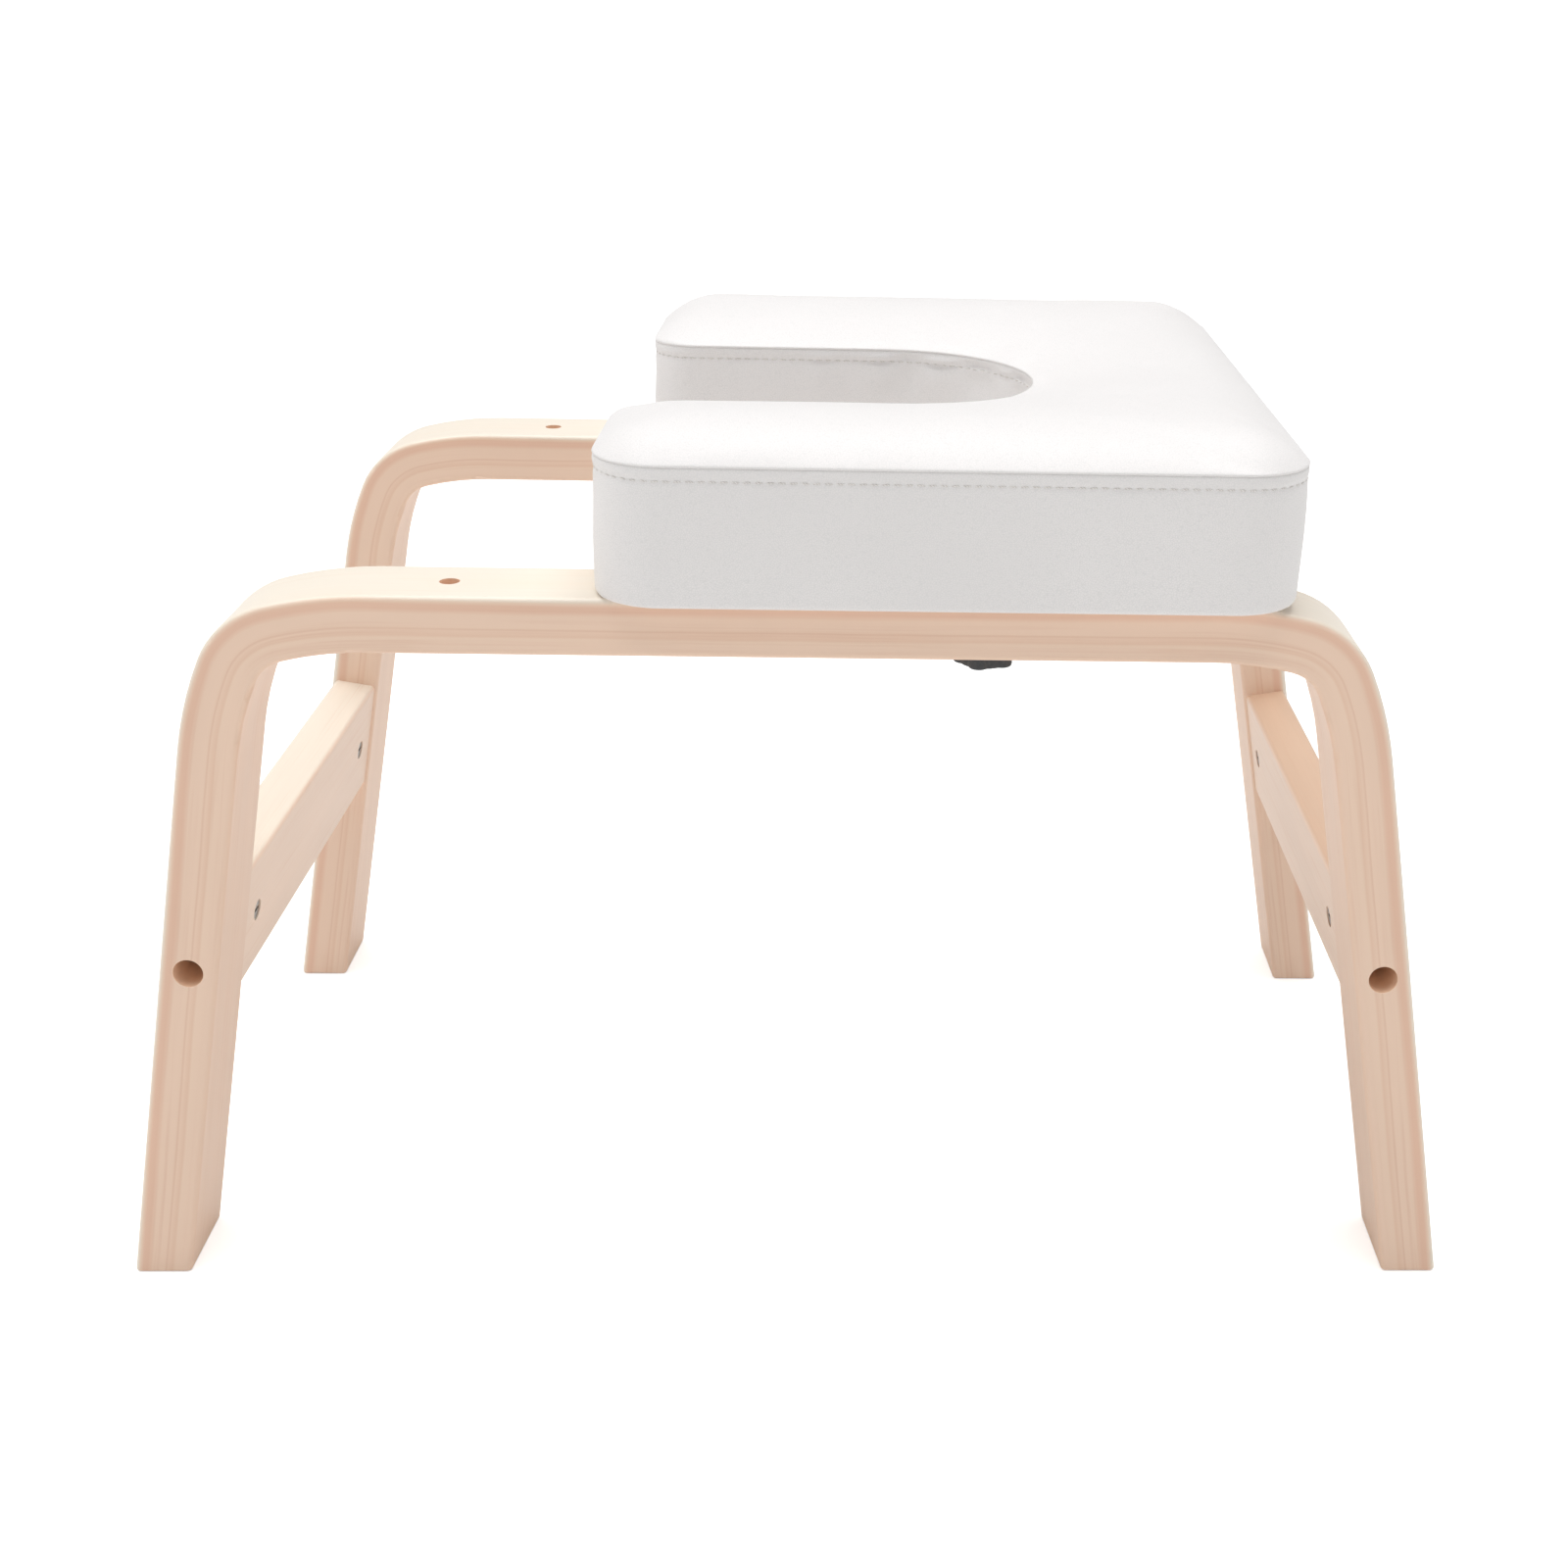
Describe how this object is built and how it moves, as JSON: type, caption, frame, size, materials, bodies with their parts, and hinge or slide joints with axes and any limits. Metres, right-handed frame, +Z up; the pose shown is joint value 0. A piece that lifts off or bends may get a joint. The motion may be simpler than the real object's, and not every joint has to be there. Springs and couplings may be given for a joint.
{
  "type": "headstand bench",
  "caption": "Low bench with two bentwood arches, two stretchers and a U-shaped shoulder cushion held down by hand knobs.",
  "frame": {"origin": "on the floor, in the middle of the four feet, which is the middle of the bench's length and width", "axes": "+X along the rails towards the closed end of the cushion, +Y from the front arch to the rear arch, +Z up"},
  "size_m": [0.5994, 0.364, 0.3973],
  "materials": {
    "bent_wood": "satin clear lacquer on light laminated wood",
    "solid_wood": "satin clear lacquer",
    "dowel_wood": "raw",
    "plywood": "raw plywood",
    "zinc_steel": "zinc plated",
    "foam": "cut foam",
    "cover": "matte white leather-look vinyl",
    "dust_cloth": "non-woven cloth",
    "knob_plastic": "moulded satin"
  },
  "bodies": {
    "frame": {"front_arch": "bent_wood", "rear_arch": "bent_wood", "left_stretcher": "solid_wood", "right_stretcher": "solid_wood", "bolt_front_left": "zinc_steel", "bolt_washer_front_left": "zinc_steel", "barrel_nut_front_left": "zinc_steel", "dowel_upper_front_left": "dowel_wood", "dowel_lower_front_left": "dowel_wood", "bolt_front_right": "zinc_steel", "bolt_washer_front_right": "zinc_steel", "barrel_nut_front_right": "zinc_steel", "dowel_upper_front_right": "dowel_wood", "dowel_lower_front_right": "dowel_wood", "bolt_rear_left": "zinc_steel", "bolt_washer_rear_left": "zinc_steel", "barrel_nut_rear_left": "zinc_steel", "dowel_upper_rear_left": "dowel_wood", "dowel_lower_rear_left": "dowel_wood", "bolt_rear_right": "zinc_steel", "bolt_washer_rear_right": "zinc_steel", "barrel_nut_rear_right": "zinc_steel", "dowel_upper_rear_right": "dowel_wood", "dowel_lower_rear_right": "dowel_wood"},
    "cushion": {"cushion_board": "plywood", "cushion_foam": "foam", "cushion_top_panel": "cover", "cushion_side_band": "cover", "cushion_dust_cover": "dust_cloth", "tee_nut_front": "zinc_steel", "tee_nut_rear": "zinc_steel"},
    "front_knob_slide": {"knob_washer_front": "zinc_steel"},
    "front_knob": {"knob_front": "knob_plastic", "knob_stud_front": "zinc_steel"},
    "rear_knob_slide": {"knob_washer_rear": "zinc_steel"},
    "rear_knob": {"knob_rear": "knob_plastic", "knob_stud_rear": "zinc_steel"}
  },
  "joints": [
    {"name": "cushion_lift", "type": "slide", "parent": "frame", "child": "cushion", "axis": [0, 0, 1], "range_m": [0, 0.06]},
    {"name": "front_knob_drop", "type": "slide", "parent": "frame", "child": "front_knob_slide", "axis": [0, 0, -1], "range_m": [0, 0.01]},
    {"name": "front_knob_turn", "type": "hinge", "parent": "front_knob_slide", "child": "front_knob", "pos_m": [0.081, -0.145, 0.298], "axis": [0, 0, -1], "range_deg": [0, 2900]},
    {"name": "rear_knob_drop", "type": "slide", "parent": "frame", "child": "rear_knob_slide", "axis": [0, 0, -1], "range_m": [0, 0.01]},
    {"name": "rear_knob_turn", "type": "hinge", "parent": "rear_knob_slide", "child": "rear_knob", "pos_m": [0.081, 0.145, 0.298], "axis": [0, 0, -1], "range_deg": [0, 2900]}
  ],
  "couplings": [
    {"joint": "front_knob_turn", "follows": "front_knob_drop", "rad_per_m": 5026.5},
    {"joint": "rear_knob_turn", "follows": "rear_knob_drop", "rad_per_m": 5026.5}
  ]
}
